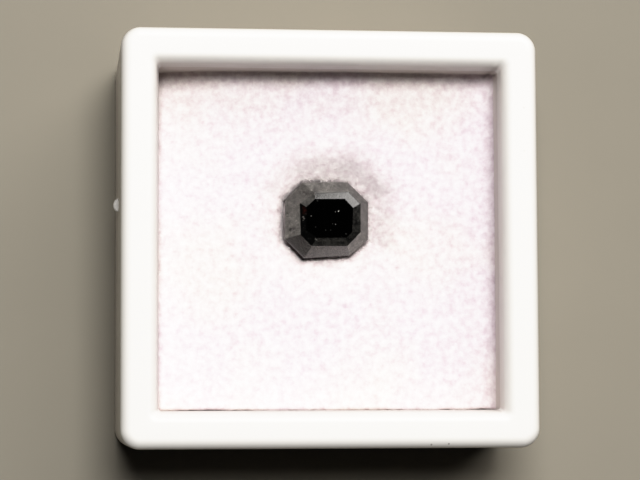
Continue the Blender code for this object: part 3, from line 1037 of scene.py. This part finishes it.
def make_lamp(name, place, diameter, power):
    """A round lamp at a place over the box's top, aimed at the box, not seen in the facets."""
    lamp = bpy.data.lights.new(name, "AREA")
    lamp.shape = "DISK"
    lamp.size = diameter
    lamp.energy = power
    lamp.color = LAMP_COLOUR
    made = add_object(name, lamp)
    made.visible_glossy = False
    made.location = Vector((0, 0, BOX_HEIGHT)) + Vector(place)
    made.rotation_mode = "QUATERNION"
    made.rotation_quaternion = (-Vector(place)).to_track_quat("-Z", "Y")


def shape_tones(view):
    """Softer contrast, and a phone's soft shoulder so that white foam doesn't burn out."""
    view.view_transform = "Standard"
    view.gamma = GAMMA
    view.use_curve_mapping = True
    mapping = view.curve_mapping
    mapping.clip_max_x = TONE_REACH
    tone = mapping.curves[3].points
    tone[1].location = TONE_END
    for light, shown in TONE:
        tone.new(light, shown)
    mapping.update()


def make_camera(settings):
    """The camera, looking down from the near left."""
    data = bpy.data.cameras.new("camera")
    data.lens = settings.lens
    data.sensor_width = SENSOR_WIDTH
    data.clip_start = CLIP_NEAR
    data.clip_end = CLIP_FAR
    made = add_object("camera", data)
    place = Vector((settings.camera_x, settings.camera_y, BOX_HEIGHT + settings.camera_height))
    target = Vector((settings.aim_x, settings.aim_y, BOX_HEIGHT))
    ahead = (target - place).normalized()
    across = ahead.cross(Vector((0, 1, 0))).normalized()
    upwards = across.cross(ahead)
    turn = Matrix((across, upwards, -ahead)).transposed().to_4x4()
    made.matrix_world = Matrix.Translation(place) @ turn @ Matrix.Rotation(settings.roll, 4, "Z")
    bpy.context.scene.camera = made


class GEMBOX_OT_materials(Operator):
    """Make the finishes of the box, the pad and the stone"""

    bl_idname = "gembox.materials"
    bl_label = "Make finishes"

    def execute(self, context):
        box = context.scene.gembox_box
        moulded_polystyrene("moulded_polystyrene", box.plastic, DUST)
        # The tray's finish carries painted shade for the wall under the lip
        moulded_polystyrene("moulded_polystyrene_tray_painted_shade", box.tray_plastic_painted_shade)
        felted_foam(context.scene.gembox_pad)
        polished_black_diamond(context.scene.gembox_stone)
        return {"FINISHED"}


class GEMBOX_OT_base(Operator):
    """Make the tray that forms the lower half of the box"""

    bl_idname = "gembox.base"
    bl_label = "Make base"

    def execute(self, context):
        place_piece(make_base(context.scene.gembox_box), "box_base")
        return {"FINISHED"}


class GEMBOX_OT_frame(Operator):
    """Make the frame that forms the upper half of the box, with its thumb tab"""

    bl_idname = "gembox.frame"
    bl_label = "Make frame"

    def execute(self, context):
        place_piece(make_frame(context.scene.gembox_box), "bezel_frame")
        place_piece(make_tab(), None)
        return {"FINISHED"}


class GEMBOX_OT_pad(Operator):
    """Make the foam pad with the dimple that the stone lies in, and its loose fibres"""

    bl_idname = "gembox.pad"
    bl_label = "Make pad"

    def execute(self, context):
        settings = context.scene.gembox_pad
        pad = make_pad(settings)
        place_piece(pad, "foam_pad")
        place_piece(make_fibres(settings, pad), None)
        return {"FINISHED"}


class GEMBOX_OT_stone(Operator):
    """Make the step-cut black diamond"""

    bl_idname = "gembox.stone"
    bl_label = "Make diamond"

    def execute(self, context):
        place_piece(make_stone(context.scene.gembox_stone), "black_diamond")
        return {"FINISHED"}


class GEMBOX_OT_stage(Operator):
    """Make the floor, the light and the camera"""

    bl_idname = "gembox.stage"
    bl_label = "Make stage"

    def execute(self, context):
        settings = context.scene.gembox_studio
        make_floor(settings)
        make_world(settings)
        make_lamp("key", *KEY_LAMP, settings.key_strength)
        make_lamp("fill", *FILL_LAMP, settings.fill_strength)
        make_camera(settings)
        shape_tones(context.scene.view_settings)
        return {"FINISHED"}


class GEMBOX_PT_panel(Panel):
    """Lists the settings and the steps"""

    bl_idname = "GEMBOX_PT_panel"
    bl_label = "Gem box"
    bl_space_type = "VIEW_3D"
    bl_region_type = "UI"
    bl_category = "Gem box"

    def draw(self, context):
        for name, group in SETTINGS:
            box = self.layout.box()
            box.label(text=group.__doc__)
            held = getattr(context.scene, name)
            for setting in group.__annotations__:
                box.prop(held, setting)
        for step in STEPS:
            self.layout.operator(step.bl_idname)


SETTINGS = (("gembox_box", BoxSettings), ("gembox_pad", PadSettings),
            ("gembox_stone", StoneSettings), ("gembox_studio", StudioSettings))
STEPS = (GEMBOX_OT_materials, GEMBOX_OT_base, GEMBOX_OT_frame, GEMBOX_OT_pad, GEMBOX_OT_stone,
         GEMBOX_OT_stage)


def register():
    """Makes the settings, the steps and the panel known to Blender."""
    for name, group in SETTINGS:
        bpy.utils.register_class(group)
        setattr(bpy.types.Scene, name, PointerProperty(type=group))
    for step in STEPS:
        bpy.utils.register_class(step)
    bpy.utils.register_class(GEMBOX_PT_panel)


def unregister():
    """Takes them out again."""
    bpy.utils.unregister_class(GEMBOX_PT_panel)
    for step in reversed(STEPS):
        bpy.utils.unregister_class(step)
    for name, group in reversed(SETTINGS):
        delattr(bpy.types.Scene, name)
        bpy.utils.unregister_class(group)


def main():
    """Builds every piece and the stage."""
    register()
    bpy.ops.gembox.materials()
    bpy.ops.gembox.base()
    bpy.ops.gembox.frame()
    bpy.ops.gembox.pad()
    bpy.ops.gembox.stone()
    bpy.ops.gembox.stage()


if __name__ == "__main__":
    main()
